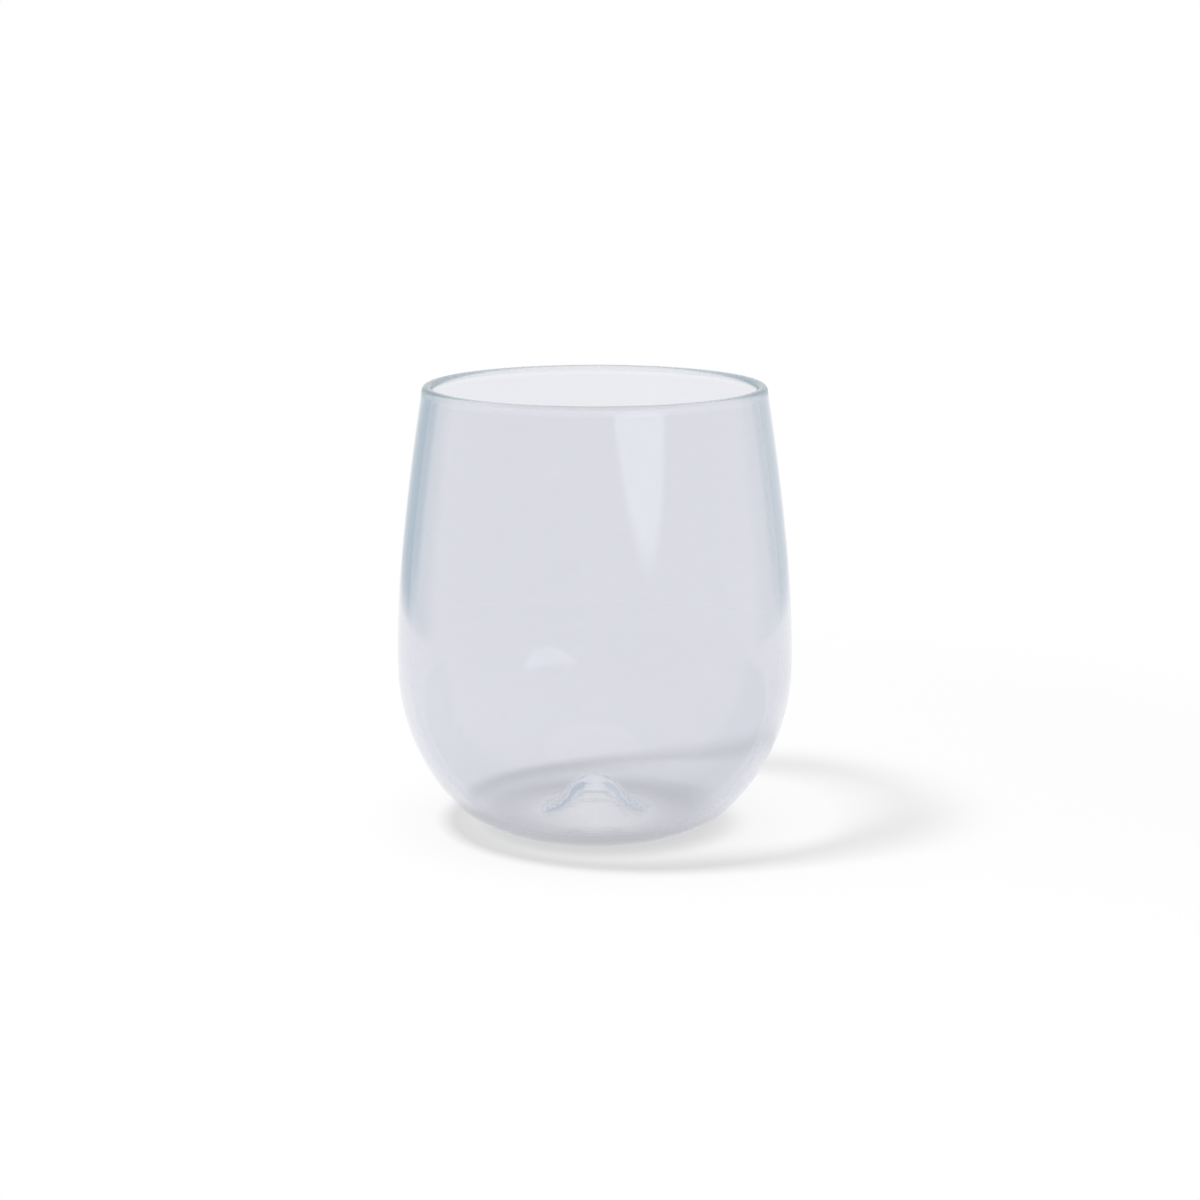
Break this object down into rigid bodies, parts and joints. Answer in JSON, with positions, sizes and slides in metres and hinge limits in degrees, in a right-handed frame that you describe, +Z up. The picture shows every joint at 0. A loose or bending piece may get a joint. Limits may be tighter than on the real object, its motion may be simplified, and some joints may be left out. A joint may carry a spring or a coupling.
{
  "type": "stemless wine glass",
  "caption": "Round-bellied stemless wine tumbler in clear plastic, with an even wall, a rounded lip and a base pushed up in the middle.",
  "frame": {"origin": "middle of the foot, on the surface that the glass stands on", "axes": "+Z up, along the axis that the body is turned about; +X and +Y are alike"},
  "size_m": [0.0918, 0.0918, 0.1035],
  "materials": {
    "clear_body": "clear and polished, with a faint lavender-grey tint that deepens to teal at the edges"
  },
  "bodies": {
    "root": {"tumbler": "clear_body"}
  },
  "joints": []
}
